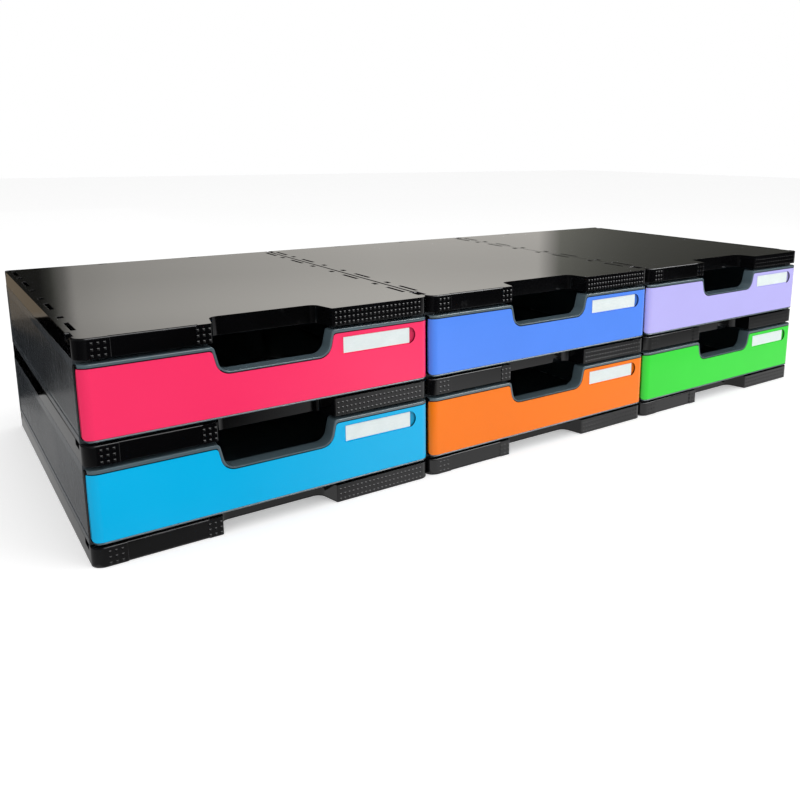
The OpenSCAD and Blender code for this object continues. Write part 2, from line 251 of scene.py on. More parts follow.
def finished(form, name, material, width, steps=2, wide=None, wide_width=0.0):
    """Turns a bmesh into an object with rounded edges. Runs for which wide is true get wide_width."""
    most = max(width, wide_width) * MM
    weight = form.edges.layers.float.new("bevel_weight_edge")
    sharp = {edge for edge in form.edges if len(edge.link_faces) == 2 and edge.calc_face_angle(0) > SHARP}
    runs = runs_of(sharp)
    wanted = [wide_width * MM if wide and all(wide((edge.verts[0].co + edge.verts[1].co) / 2 / MM)
                                              for edge in run) else width * MM for run in runs]
    for run, fitted in zip(runs, fitted_widths(form, runs, wanted)):
        for edge in run:
            edge[weight] = fitted / most if fitted > LEAST_WIDTH * MM else 0.0
    source_mesh = bpy.data.meshes.new(name + "_source")
    form.to_mesh(source_mesh)
    form.free()
    source_mesh.materials.append(material)
    source_mesh.materials.append(material)
    source = placed(name + "_source", source_mesh)
    rounding = source.modifiers.new("rounding", "BEVEL")
    rounding.limit_method = "WEIGHT"
    rounding.width = most
    rounding.segments = steps
    rounding.use_clamp_overlap = False
    rounding.loop_slide = False
    rounding.material = 1
    mesh = plain_mesh(source, name)
    worn = mesh.attributes.new(WEAR, "FLOAT", "FACE")
    worn.data.foreach_set("value", [float(polygon.material_index) for polygon in mesh.polygons])
    mesh.polygons.foreach_set("material_index", [0] * len(mesh.polygons))
    mesh.materials.pop()
    mesh.polygons.foreach_set("use_smooth", [True] * len(mesh.polygons))
    mesh.set_sharp_from_angle(angle=SMOOTH_TO)
    piece = placed(name, mesh)
    weigh = piece.modifiers.new("flat_faces_lead", "WEIGHTED_NORMAL")
    weigh.keep_sharp = True
    return piece


# %% [markdown]
# ## Materials
# The pieces are polystyrene, moulded in polished tools, and paper. Plastic of this kind is smooth but not
# a mirror: it has a faint orange peel a few millimetres wide, a fine tooth, and rubbed scratches that only
# show in the gloss. This could be painted on images, but each piece would then need its own map. Noise on
# Object coordinates needs none, stays the same size on every piece and never slides. Numbers that are the
# same all over are set straight on the shader.

# %% Node helpers
def new_material(name):
    material = bpy.data.materials.new(name)
    material.use_nodes = True
    tree = material.node_tree
    shader = tree.nodes["Principled BSDF"]
    return material, tree, shader


def node(tree, kind, **settings):
    made = tree.nodes.new(kind)
    for key, value in settings.items():
        if key in made.inputs:
            made.inputs[key].default_value = value
        else:
            setattr(made, key, value)
    return made


def noise(tree, coords, scale, detail=2.0, stretch=(1, 1, 1), rough=0.5):
    mapping = node(tree, "ShaderNodeMapping", Scale=stretch)
    texture = node(tree, "ShaderNodeTexNoise", Scale=scale, Detail=detail, Roughness=rough)
    tree.links.new(coords, mapping.inputs["Vector"])
    tree.links.new(mapping.outputs["Vector"], texture.inputs["Vector"])
    return texture.outputs["Fac"]


def spread(tree, value, low, high, to_low, to_high):
    ranged = node(tree, "ShaderNodeMapRange")
    for key, number in (("From Min", low), ("From Max", high), ("To Min", to_low), ("To Max", to_high)):
        ranged.inputs[key].default_value = number
    tree.links.new(value, ranged.inputs["Value"])
    return ranged.outputs["Result"]


def math_node(tree, operation, first, second):
    made = node(tree, "ShaderNodeMath", operation=operation)
    for socket, value in zip(made.inputs, (first, second)):
        if isinstance(value, (int, float)):
            socket.default_value = value
        else:
            tree.links.new(value, socket)
    return made.outputs["Value"]


def mixed(tree, share, first, second):
    """Blends two colours. Each is a fixed colour or what another node gives."""
    made = node(tree, "ShaderNodeMix", data_type="RGBA")
    tree.links.new(share, made.inputs[0])
    for socket, colour in ((made.inputs[6], first), (made.inputs[7], second)):
        if isinstance(colour, tuple):
            socket.default_value = colour
        else:
            tree.links.new(colour, socket)
    return made.outputs[2]


# %% [markdown]
# ### Moulded plastic
# One recipe serves all plastics here, with its own colour, gloss and strength of each flaw. The corners and
# edges of a used sorter are rubbed paler, in patches, so noise breaks up the attribute from the bevels.
# On the trays and the coloured panels some faces lie in a narrow gap, where a real one is nearly black. A
# second attribute paints shade on those faces, near black and with little gloss, because so thin a gap is
# smaller than a pixel and its shade gets lost. The same attribute paints shade in the thumb recess of a
# label.

# %% Moulded plastic with its peel, tooth, scratches, rubbed edges and painted shade
PAINTED_SHADE_ATTRIBUTE = "painted_shade"
PAINTED_SHADE_BLACK = (0.003, 0.003, 0.004, 1)
PAINTED_SHADE_SHINE = 0.1
PLASTIC_IOR = 1.52
CLOUD_SCALE, SCRATCH_SCALE, PATCH_SCALE = 9.0, 60.0, 45.0
PEEL_SCALE, PEEL_HEIGHT = 160.0, 0.0004
TOOTH_SCALE, TOOTH_HEIGHT = 900.0, 0.0001


def linear(channel):
    channel /= 255
    return channel / 12.92 if channel <= 0.04045 else ((channel + 0.055) / 1.055) ** 2.4


def colour_of(red, green, blue):
    return (linear(red), linear(green), linear(blue), 1.0)


def moulded_plastic(name, colour, worn_colour, roughness, peel=0.1, tooth=0.05, scratch=0.12, mottle=0.06,
                    shine=0.5, with_painted_shade=False):
    material, tree, shader = new_material(name)
    coords = node(tree, "ShaderNodeTexCoord").outputs["Object"]
    cloud = noise(tree, coords, CLOUD_SCALE, 3.0)
    fine = noise(tree, coords, TOOTH_SCALE, 2.0)
    waves = noise(tree, coords, PEEL_SCALE, 1.0)
    lines = noise(tree, coords, SCRATCH_SCALE, 4.0, stretch=(1.0, 22.0, 1.0), rough=0.7)
    worn = node(tree, "ShaderNodeAttribute", attribute_name=WEAR).outputs["Fac"]
    patchy = spread(tree, noise(tree, coords, PATCH_SCALE, 4.0), 0.48, 0.62, 0.0, 0.55)
    rubbed = math_node(tree, "MULTIPLY", worn, patchy)

    deep = tuple(channel * (1 - mottle) for channel in colour[:3]) + (1.0,)
    pale = tuple(min(channel * (1 + mottle), 1.0) for channel in colour[:3]) + (1.0,)
    surface = mixed(tree, spread(tree, cloud, 0.35, 0.65, 0.0, 1.0), deep, pale)
    surface = mixed(tree, rubbed, surface, worn_colour)
    shader.inputs["Specular IOR Level"].default_value = shine
    # Painted shade: where the attribute is set, the colour goes towards near black and the gloss drops.
    if with_painted_shade:
        shade_share = node(tree, "ShaderNodeAttribute", attribute_name=PAINTED_SHADE_ATTRIBUTE).outputs["Fac"]
        surface = mixed(tree, shade_share, surface, PAINTED_SHADE_BLACK)
        dimmed = spread(tree, shade_share, 0.0, 1.0, shine, PAINTED_SHADE_SHINE)
        tree.links.new(dimmed, shader.inputs["Specular IOR Level"])
    tree.links.new(surface, shader.inputs["Base Color"])

    hairline = spread(tree, lines, 0.62, 0.70, 0.0, scratch)
    gloss = spread(tree, cloud, 0.3, 0.7, roughness * 0.85, roughness * 1.15)
    gloss = math_node(tree, "ADD", gloss, hairline)
    gloss = math_node(tree, "ADD", gloss, math_node(tree, "MULTIPLY", rubbed, 0.25))
    tree.links.new(gloss, shader.inputs["Roughness"])

    first = node(tree, "ShaderNodeBump", Strength=peel, Distance=PEEL_HEIGHT)
    tree.links.new(waves, first.inputs["Height"])
    second = node(tree, "ShaderNodeBump", Strength=tooth, Distance=TOOTH_HEIGHT)
    tree.links.new(fine, second.inputs["Height"])
    tree.links.new(first.outputs["Normal"], second.inputs["Normal"])
    tree.links.new(second.outputs["Normal"], shader.inputs["Normal"])
    shader.inputs["IOR"].default_value = PLASTIC_IOR
    return material


# %% Mix the plastics of the sorter
CASING = moulded_plastic("casing_black_gloss", (0.0024, 0.0024, 0.0028, 1), (0.03, 0.03, 0.033, 1), 0.08,
                         peel=0.05, tooth=0.04, mottle=0.3)
WALL = moulded_plastic("wall_black_satin", (0.058, 0.066, 0.075, 1), (0.10, 0.108, 0.116, 1), 0.24,
                       peel=0.1, tooth=0.08, mottle=0.15)
TRAY = moulded_plastic("tray_slate_grey", colour_of(83, 99, 106), colour_of(176, 187, 193), 0.16,
                       peel=0.08, tooth=0.08, shine=0.85, with_painted_shade=True)
STUD = moulded_plastic("stud_black_gloss", (0.0026, 0.0026, 0.0032, 1), (0.02, 0.02, 0.023, 1), 0.08,
                       peel=0.05, tooth=0.04, mottle=0.3, shine=0.37)
# The ribs take a copy of the wall plastic, half as bright and with weaker gloss: painted shade that makes
# their lines show.
RIB_PAINTED_SHADE = moulded_plastic("rib_black_satin_painted_shade", (0.0305, 0.0345, 0.0395, 1), (0.05, 0.054, 0.058, 1), 0.24,
                      peel=0.1, tooth=0.08, mottle=0.15, shine=0.3)
PALER = 0.35
FRONT_COLOURS = {
    "left_upper": ("pink", (255, 52, 104)), "centre_upper": ("blue", (85, 142, 249)),
    "right_upper": ("lilac", (191, 185, 248)), "left_lower": ("cyan", (0, 181, 235)),
    "centre_lower": ("orange", (253, 124, 5)), "right_lower": ("green", (50, 222, 56)),
}
FRONTS = {}
for place, (word, rgb) in FRONT_COLOURS.items():
    paler = tuple(channel + (255 - channel) * PALER for channel in rgb)
    FRONTS[place] = moulded_plastic("front_" + word, colour_of(*rgb), colour_of(*paler), 0.14,
                                    peel=0.05, tooth=0.05, scratch=0.02, mottle=0.02, shine=0.36,
                                    with_painted_shade=True)
print("plastics:", [material.name for material in (CASING, WALL, TRAY, STUD, RIB_PAINTED_SHADE, *FRONTS.values())])

# %% [markdown]
# ### Paper
# A label card is plain white card, matt and a little fibrous. A flat white would do from afar, but a card
# beside glossy plastic has to look dry, so fine fibres change its roughness more than its colour.

# %% Paper of the label cards
CARD_SHADED, CARD_PALE = colour_of(222, 232, 231), colour_of(229, 238, 237)


def paper(name):
    material, tree, shader = new_material(name)
    coords = node(tree, "ShaderNodeTexCoord").outputs["Object"]
    fibres = noise(tree, coords, 700.0, 5.0, stretch=(0.35, 1.0, 1.0), rough=0.7)
    cloud = noise(tree, coords, 60.0, 3.0)
    share = spread(tree, math_node(tree, "ADD", fibres, cloud), 0.8, 1.2, 0.0, 1.0)
    tint = mixed(tree, share, CARD_SHADED, CARD_PALE)
    tree.links.new(tint, shader.inputs["Base Color"])
    tree.links.new(spread(tree, fibres, 0.3, 0.7, 0.75, 0.92), shader.inputs["Roughness"])
    bump = node(tree, "ShaderNodeBump", Strength=0.15, Distance=0.00003)
    tree.links.new(fibres, bump.inputs["Height"])
    tree.links.new(bump.outputs["Normal"], shader.inputs["Normal"])
    shader.inputs["Specular IOR Level"].default_value = 0.25
    return material


CARD = paper("label_card_paper")
print("paper:", CARD.name)

# %% [markdown]
# ## Plates
# A plate is the black moulding at the bottom, the middle and the top of each column. Seen from the front
# it is the band with the finger notch. It could be bevelled by one width all over, but on the real one the
# top edge has the largest radius, which gives the long bright line under the top surface. So its outline
# gets a width of its own, and the slots in the top keep a finer edge. The band moves back by the height
# of the studs that come on it, so the object keeps its size.

# %% Make the nine plates
SLOT_STRIP = (4.4, 11.6)
SLOTS_BEGIN = 30
SLOTS_END = 1
REAR_SLOT_STRIP = (3.6, 8.4)
REAR_SLOTS_BEGIN = 20
TOP_SKIN = 0.05
STUD_HEIGHT = 0.5
BAND_DEPTH = 11
PLATE_RADIUS = 0.35
TOP_RADIUS = 1.6


def plate_rules(node_name):
    """Tells the outline of the top surface from the edges of the slots in it."""
    corner, size = corner_mm(node_name), size_mm(node_name)

    def on_top_outline(middle):
        x, y, z = middle - corner
        side = min(x, size.x - x)
        in_slot = SLOT_STRIP[0] < side < SLOT_STRIP[1] and SLOTS_BEGIN < y < size.y - SLOTS_END
        in_rear_slot = REAR_SLOT_STRIP[0] < size.y - y < REAR_SLOT_STRIP[1] and side > REAR_SLOTS_BEGIN
        return z > size.z - TOP_SKIN and not in_slot and not in_rear_slot

    return on_top_outline


def recess_band(form, front):
    """Moves the band back by a stud's height, and what lies behind it less and less."""
    for vert in form.verts:
        depth = vert.co.y / MM - front
        if depth < BAND_DEPTH:
            vert.co.y += STUD_HEIGHT * MM * (1 - depth / BAND_DEPTH)


pieces = []
for column in COLUMNS:
    for kind in PLATES:
        node_name = f"{column}_{kind}"
        form = joined_copy(node_name)
        recess_band(form, corner_mm(node_name).y)
        plate = finished(form, node_name + "_moulding", CASING, PLATE_RADIUS, 3, plate_rules(node_name),
                         TOP_RADIUS)
        pieces.append((plate, node_name, "housing", "casing"))
print("plates:", len(pieces), "faces of the last:", len(plate.data.polygons))

# %% [markdown]
# ## Walls and backs
# The side walls carry a field of fine ribs from front to back, sunk between plain borders. The ribs
# hide scuffs and turn the reflection of the desk into a soft grey. A boolean could cut the field, but two
# insets of the big outer face leave a cleaner mesh: one is level, for the border, and one steps down.
# On the side walls the field comes nearer to the front than to the other edges.

# %% Make the walls and backs with their sunk fields
FIELD_BORDER = 8.5
FRONT_BORDER = 2.5
FIELD_DEPTH = 0.5
FIELD_SLOPE = 0.4
WALL_RADIUS = 0.4
WALL_SIDES = {"wall_l": (-1, 0, 0), "wall_r": (1, 0, 0), "back": (0, 1, 0)}


def sink_field(form, direction):
    """Sinks the middle of the largest face that looks in a direction."""
    face = max((face for face in form.faces if face.normal.dot(direction) > 0.99),
               key=lambda face: face.calc_area())
    bmesh.ops.inset_region(form, faces=[face], thickness=FIELD_BORDER * MM, depth=0)
    if direction.y == 0:
        middle = face.calc_center_median().y
        for vert in face.verts:
            if vert.co.y < middle:
                vert.co.y -= (FIELD_BORDER - FRONT_BORDER) * MM
    bmesh.ops.inset_region(form, faces=[face], thickness=FIELD_SLOPE * MM, depth=-FIELD_DEPTH * MM)


def wall_piece(node_name, direction):
    form = joined_copy(node_name)
    bmesh.ops.recalc_face_normals(form, faces=form.faces)
    sink_field(form, direction)
    return finished(form, node_name + "_moulding", WALL, WALL_RADIUS)


for column in COLUMNS:
    for level in LEVELS:
        for ending, direction in WALL_SIDES.items():
            node_name = f"{column}_{level}_{ending}"
            piece = wall_piece(node_name, Vector(direction))
            pieces.append((piece, node_name, "housing", "wall"))
print("walls and backs:", len(WALL_SIDES) * len(COLUMNS) * len(LEVELS))

# %% [markdown]
# ## Drawers
# Each drawer is a slate grey tray, a coloured panel bent round its two front corners, and a paper card in a
# shallow recess. The tray's front shows as a grey rim round the panel, and on the real one this rim is
# softly rounded, which draws a silver line. A bevel can't round it, because the rim meets the bent corners
# in slivers that leave no room. So the rim's faces are inset together and their outer edges moved back,
# which makes a chamfer of even width. The panel lies in a seat, and the faces in that gap and beside the
# bent ends get painted shade, near black.

# %% Find the rim of a tray and slope it
RIM_DEPTH = 11.4
RIM_CHAMFER = 1.0
RIM_DROP = 0.6
SEAT_DROP = 0.5
SEAT_GAP = 1.2
FACES_FRONT = -0.95
LEANS_FRONT = -0.02


def surface_of(node_name):
    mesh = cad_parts[node_name].data
    corners = [vert.co for vert in mesh.vertices]
    return BVHTree.FromPolygons(corners, [face.vertices for face in mesh.polygons])


def away_from(surface, point):
    """How far a point lies from a surface, in millimetres."""
    return surface.find_nearest(point * MM)[3] / MM


def rim_faces(form, low, high, panel):
    """The faces of the grey border round the panel, also where it bends round the corners."""
    found = []
    for face in form.faces:
        middle, normal = face.calc_center_median() / MM, face.normal
        outward = normal.x * (middle.x - (low.x + high.x) / 2) > -0.05
        at_side = min(middle.x - low.x, high.x - middle.x) < RIM_DEPTH
        bent = at_side and outward and normal.y < LEANS_FRONT
        if middle.y - low.y < RIM_DEPTH and abs(normal.z) < 0.05 and (normal.y < FACES_FRONT or bent):
            if max(away_from(panel, vert.co / MM) for vert in face.verts) > SEAT_GAP:
                found.append(face)
    return found


def chamfer_rim(form, tray_name, panel):
    """Slopes the border of the panel down to both of its edges."""
    low = corner_mm(tray_name)
    faces = set(rim_faces(form, low, low + size_mm(tray_name), panel))
    outward = {}
    for face in faces:
        for edge in face.edges:
            if sum(other in faces for other in edge.link_faces) == 1:
                for vert in edge.verts:
                    place = tuple(vert.co)
                    outward[place] = outward.get(place, Vector()) + face.normal
    strips = bmesh.ops.inset_region(form, faces=list(faces), thickness=RIM_CHAMFER * MM, depth=0,
                                    use_even_offset=True)["faces"]
    for vert in {vert for face in strips for vert in face.verts}:
        if tuple(vert.co) in outward:
            drop = RIM_DROP if away_from(panel, vert.co / MM) > SEAT_GAP else SEAT_DROP
            vert.co -= outward[tuple(vert.co)].normalized() * drop * MM


print("rim chamfer:", RIM_CHAMFER, "mm wide,", RIM_DROP, "mm deep outside and", SEAT_DROP, "at the seat")

# %% Paint shade on the faces in a narrow gap and in the thumb recess
SIDE_STRIP = 2.0
GAP_SHADE_REACH = 0.7
LOOKS_DOWN = -0.3
THUMB_REACH = (0.2, 8)
THUMB_DEPTH = 1.5
THUMB_SIDE = -0.25
THUMB_WALL_SHADE = 0.85
THUMB_FLOOR_SHADE = 0.3
FLOOR_CORNERS = 60


def paint_shade_marks(piece, marks):
    layer = piece.data.attributes.new(PAINTED_SHADE_ATTRIBUTE, "FLOAT", "FACE")
    layer.data.foreach_set("value", marks)


def paint_gap_shade(tray, tray_name, panel):
    """Paints shade on the faces of the tray under the panel's edge or beside its bent ends."""
    low, high = corner_mm(tray_name), corner_mm(tray_name) + size_mm(tray_name)
    marks = []
    for polygon in tray.data.polygons:
        middle = polygon.center / MM
        beside = min(middle.x - low.x, high.x - middle.x) < SIDE_STRIP
        under = polygon.normal.z < LOOKS_DOWN and away_from(panel, middle) < GAP_SHADE_REACH
        marks.append(float(middle.y - low.y < RIM_DEPTH and (beside or under)))
    paint_shade_marks(tray, marks)


def paint_thumb_shade(front, card_name):
    """Paints shade on the curved end of the label's recess, where a finger pushes the card out."""
    card_end = corner_mm(card_name).x + size_mm(card_name).x
    face_y = corner_mm(card_name).y
    marks = []
    for polygon in front.data.polygons:
        middle, normal = polygon.center / MM, polygon.normal
        past_card = THUMB_REACH[0] < middle.x - card_end < THUMB_REACH[1]
        beside = past_card and abs(middle.y - face_y) < THUMB_DEPTH
        wall = beside and normal.x < THUMB_SIDE
        ground = beside and normal.y < FACES_FRONT and len(polygon.vertices) < FLOOR_CORNERS
        marks.append(THUMB_WALL_SHADE * float(wall) + THUMB_FLOOR_SHADE * float(ground))
    paint_shade_marks(front, marks)


print("marks go into the attribute", PAINTED_SHADE_ATTRIBUTE)

# %% Make the trays, fronts and cards
TRAY_RADIUS = 0.5
FRONT_RADIUS = 0.45
CARD_RADIUS = 0.1
for column in COLUMNS:
    for level in LEVELS:
        place = f"{column}_{level}"
        body = place + "_drawer"
        form = joined_copy(place + "_tray")
        panel = surface_of(place + "_front")
        chamfer_rim(form, place + "_tray", panel)
        tray = finished(form, place + "_tray_moulding", TRAY, TRAY_RADIUS, 3)
        paint_gap_shade(tray, place + "_tray", panel)
        front = finished(joined_copy(place + "_front"), place + "_front_panel", FRONTS[place], FRONT_RADIUS)
        paint_thumb_shade(front, place + "_label")
        card = finished(joined_copy(place + "_label"), place + "_card", CARD, CARD_RADIUS, 1)
        pieces.append((tray, place + "_tray", body, "tray"))
        pieces.append((front, place + "_front", body, "front_" + FRONT_COLOURS[place][0]))
        pieces.append((card, place + "_label", body, "card"))
print("pieces so far:", len(pieces))

# %% [markdown]
# ## What repeats: studs and ribs
# Each black band carries three pads of small studs, and each wall a field of ribs. Hundreds of equal
# shapes in a regular pattern could be copied in a loop, but then a change of pitch means new numbers
# everywhere. Geometry Nodes keep the rule: a small tree with named inputs lays a grid or a line, puts the
# shape on every point, makes the result real and gives it its material.

# %% What both trees share
UPRIGHT = (math.pi / 2, 0, 0)


def new_tree(name, sizes):
    """A Geometry Nodes tree with named inputs, which are counts or lengths, and those inputs."""
    tree = bpy.data.node_groups.new(name, "GeometryNodeTree")
    tree.interface.new_socket(name="Geometry", in_out="INPUT", socket_type="NodeSocketGeometry")
    for word, value in sizes.items():
        kind = "NodeSocketInt" if isinstance(value, int) else "NodeSocketFloat"
        tree.interface.new_socket(name=word, in_out="INPUT", socket_type=kind).default_value = value
    tree.interface.new_socket(name="Geometry", in_out="OUTPUT", socket_type="NodeSocketGeometry")
    return tree, tree.nodes.new("NodeGroupInput").outputs


def product(tree, first, second, less=0):
    """First, less a number, times second, which is a number or what another node gives."""
    if less:
        first = math_node(tree, "SUBTRACT", first, less)
    return math_node(tree, "MULTIPLY", first, second)


def moved(tree, geometry, socket, value):
    """Sends a geometry through a Transform node with one of its inputs set or linked."""
    made = tree.nodes.new("GeometryNodeTransform")
    if isinstance(value, tuple):
        made.inputs[socket].default_value = value
    else:
        tree.links.new(value, made.inputs[socket])
    tree.links.new(geometry, made.inputs["Geometry"])
    return made.outputs["Geometry"]


def on_points(tree, points, instance):
    """Puts an instance on every point. Gives the node back, so that a turn or a scale can be added."""
    made = tree.nodes.new("GeometryNodeInstanceOnPoints")
    tree.links.new(points, made.inputs["Points"])
    tree.links.new(instance, made.inputs["Instance"])
    return made


def vector_of(tree, **parts):
    made = tree.nodes.new("ShaderNodeCombineXYZ")
    for axis, value in parts.items():
        tree.links.new(value, made.inputs[axis])
    return made.outputs["Vector"]


def close_tree(tree, instances, material):
    """Makes the instances real, gives them a material and sends them out."""
    real = tree.nodes.new("GeometryNodeRealizeInstances")
    finish = tree.nodes.new("GeometryNodeSetMaterial")
    finish.inputs["Material"].default_value = material
    tree.links.new(instances, real.inputs["Geometry"])
    tree.links.new(real.outputs["Geometry"], finish.inputs["Geometry"])
    tree.links.new(finish.outputs["Geometry"], tree.nodes.new("NodeGroupOutput").inputs["Geometry"])
    print(tree.name, "inputs:", [item.name for item in tree.interface.items_tree if item.in_out == "INPUT"])
    return tree


# %% [markdown]
# ### The tree of a stud pad
# A stud is a low pyramid with a flat tip, about 2 mm wide. A cone with four corners, turned by an eighth,
# is just that shape, with few faces. The grid is laid flat, stood up against the band, and put on one point
# for each band. The seed lets the studs differ in size by a few per cent, as worn ones do.

# %% A tree that lays a pad of studs
STUD_BASE, STUD_TIP = 0.707, 0.25
STUD_WEAR = 0.94


def stud_tree(material):
    """A grid of studs in the XZ plane on each point of the mesh, pointing to the front."""
    tree, inputs = new_tree("stud_pad", {
        "Columns": 3, "Rows": 3, "Pitch across": 0.005, "Pitch up": 0.005, "Stud width": 0.002,
        "Stud height": 0.0005, "Seed": 3})
    add, link = tree.nodes.new, tree.links.new
    grid = add("GeometryNodeMeshGrid")
    link(product(tree, inputs["Columns"], inputs["Pitch across"], 1), grid.inputs["Size X"])
    link(product(tree, inputs["Rows"], inputs["Pitch up"], 1), grid.inputs["Size Y"])
    link(inputs["Columns"], grid.inputs["Vertices X"])
    link(inputs["Rows"], grid.inputs["Vertices Y"])
    upright = moved(tree, grid.outputs["Mesh"], "Rotation", UPRIGHT)

    stud = add("GeometryNodeMeshCone")
    stud.fill_type = "NGON"
    stud.inputs["Vertices"].default_value = 4
    link(product(tree, inputs["Stud width"], STUD_BASE), stud.inputs["Radius Bottom"])
    link(product(tree, inputs["Stud width"], STUD_TIP), stud.inputs["Radius Top"])
    link(inputs["Stud height"], stud.inputs["Depth"])
    turned = moved(tree, stud.outputs["Mesh"], "Rotation", (0, 0, math.pi / 4))

    size = add("FunctionNodeRandomValue")
    size.inputs[2].default_value = STUD_WEAR
    size.inputs[3].default_value = 1.0
    link(inputs["Seed"], size.inputs["Seed"])
    on_grid = on_points(tree, upright, turned)
    on_grid.inputs["Rotation"].default_value = UPRIGHT
    link(size.outputs[1], on_grid.inputs["Scale"])
    on_bands = on_points(tree, inputs["Geometry"], on_grid.outputs["Instances"])
    return close_tree(tree, on_bands.outputs["Instances"], material)


# %% Run a tree on a set of points and keep a plain mesh
def repeat_on(points, tree, name, settings):
    seeds = bpy.data.meshes.new(name + "_points")
    seeds.from_pydata(points, [], [])
    source = placed(name + "_source", seeds)
    pattern = source.modifiers.new("pattern", "NODES")
    pattern.node_group = tree
    named = {item.name: item.identifier for item in tree.interface.items_tree
             if item.item_type == "SOCKET" and item.in_out == "INPUT"}
    for key, value in settings.items():
        pattern[named[key]] = value
    mesh = plain_mesh(source, name)
    print(name, "faces:", len(mesh.polygons))
    return placed(name, mesh)


# %% [markdown]
# ## Stud pads on the bands
# Three rows of studs stand on each band: three columns near the left end, three left of the notch, and
# a long pad of twenty-one right of it. All three come from one tree with other counts and pitches. The
# tips end where the front of the solid is, because the band was moved back by their height.

# %% Put the studs on the bands
STUD_ROW = 7.9
STUD_WIDTH = 2.3
ROW_PITCH = 5.25
PADS = (("end_studs", 18.6, 3, 5.05), ("notch_studs", 103.9, 3, 5.2), ("long_studs", 278.5, 21, 4.75))
stud_pattern = stud_tree(STUD)
for word, middle, count, pitch in PADS:
    points = []
    for column in COLUMNS:
        for kind in PLATES:
            corner = corner_mm(f"{column}_{kind}")
            points.append((corner + Vector((middle, STUD_HEIGHT, STUD_ROW))) * MM)
    studs = repeat_on(points, stud_pattern, "band_" + word, {
        "Columns": count, "Rows": 3, "Pitch across": pitch * MM, "Pitch up": ROW_PITCH * MM,
        "Stud width": STUD_WIDTH * MM, "Stud height": STUD_HEIGHT * MM, "Seed": 7})
    pieces.append((studs, None, "housing", "casing"))

# %% [markdown]
# ## Ribs on the walls and backs
# A rib is a long thin ridge. A half round profile would need its own for each side. A diamond whose inner
# half lies inside the wall serves the left walls, the right walls and, turned by a quarter, the backs. One
# tree lays the ribs one above the other on every wall.

# %% A tree that lays a field of ribs
def rib_tree(material):
    """Ribs along Y, one above the other, centred on each point of the mesh."""
    tree, inputs = new_tree("rib_field", {
        "Count": 20, "Pitch": 0.0025, "Length": 0.4, "Rib width": 0.0012, "Rib height": 0.0004, "Turn": 0.0})
    add, link = tree.nodes.new, tree.links.new

    rib = add("GeometryNodeMeshCylinder")
    rib.fill_type = "NGON"
    for key, value in (("Vertices", 4), ("Radius", 1.0), ("Depth", 1.0)):
        rib.inputs[key].default_value = value
    profile = vector_of(tree, X=inputs["Rib height"], Y=inputs["Rib width"], Z=inputs["Length"])
    laid = moved(tree, moved(tree, rib.outputs["Mesh"], "Scale", profile), "Rotation", UPRIGHT)

    height = product(tree, inputs["Count"], inputs["Pitch"], 1)
    line = add("GeometryNodeMeshLine")
    line.mode = "OFFSET"
    link(inputs["Count"], line.inputs["Count"])
    link(vector_of(tree, Z=product(tree, height, -0.5)), line.inputs["Start Location"])
    link(vector_of(tree, Z=inputs["Pitch"]), line.inputs["Offset"])

    on_line = on_points(tree, line.outputs["Mesh"], laid)
    on_walls = on_points(tree, inputs["Geometry"], on_line.outputs["Instances"])
    link(vector_of(tree, Z=inputs["Turn"]), on_walls.inputs["Rotation"])
    return close_tree(tree, on_walls.outputs["Instances"], material)


# %% Lay the ribs in the sunk fields
RIB_PITCH = 2.45
RIB_HEIGHT = 0.14
RIB_WIDTH = 0.62
PLATE_UNDER = {"lower": "base", "upper": "shelf"}
PLATE_OVER = {"lower": "shelf", "upper": "top"}
rib_pattern = rib_tree(RIB_PAINTED_SHADE)
RIB_FIELDS = (("wall_l", 0, 0.0), ("wall_r", 1, 0.0), ("back", 1, math.pi / 2))
for ending, side, turn in RIB_FIELDS:
    points = []
    across, along = (1, 0) if ending == "back" else (0, 1)
    longer = 0 if ending == "back" else FIELD_BORDER - FRONT_BORDER
    for column in COLUMNS:
        for level in LEVELS:
            node_name = f"{column}_{level}_{ending}"
            low, size = corner_mm(node_name), size_mm(node_name)
            plate_top = corner_mm(f"{column}_{PLATE_UNDER[level]}").z + plate_size.z
            next_plate = corner_mm(f"{column}_{PLATE_OVER[level]}").z
            middle = low + size / 2
            middle.z = (plate_top + next_plate) / 2
            middle[across] = low[across] + FIELD_DEPTH + (size[across] - 2 * FIELD_DEPTH) * side
            middle.y -= longer / 2
            points.append(middle * MM)
    run = size[along] - 2 * (FIELD_BORDER + FIELD_SLOPE) + longer
    room = next_plate - plate_top - 2 * (FIELD_BORDER + FIELD_SLOPE)
    ribs = repeat_on(points, rib_pattern, ending + "_ribs", {
        "Count": int(room / RIB_PITCH), "Pitch": RIB_PITCH * MM, "Length": run * MM,
        "Rib width": RIB_WIDTH * MM, "Rib height": RIB_HEIGHT * MM, "Turn": turn})
    pieces.append((ribs, None, "housing", "wall"))

# %% [markdown]
# ## Tie every piece to its body
# The housing stands still and each drawer slides. Each piece is parented to an empty named for the body it
# rides on, and keeps its place. A piece that is made from a solid takes its place, and the solid stays
# hidden for the physics.

# %% Ride and replace
for piece, node_name, body, slot_name in pieces:
    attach(piece, body)
    if node_name:
        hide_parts(node_name)
triangles = sum(len(polygon.vertices) - 2 for piece, *others in pieces for polygon in piece.data.polygons)
print("pieces:", len(pieces), "triangles:", triangles)

# %% [markdown]
# ## Floor
# The floor is plain and pale. A white floor under a strong lamp would turn as white as the background, but
# it would throw that light on the object too. So it is lit like everything else, and for the camera alone
# a little plain white is added. The open floor then runs into the background, and the shadow stays.

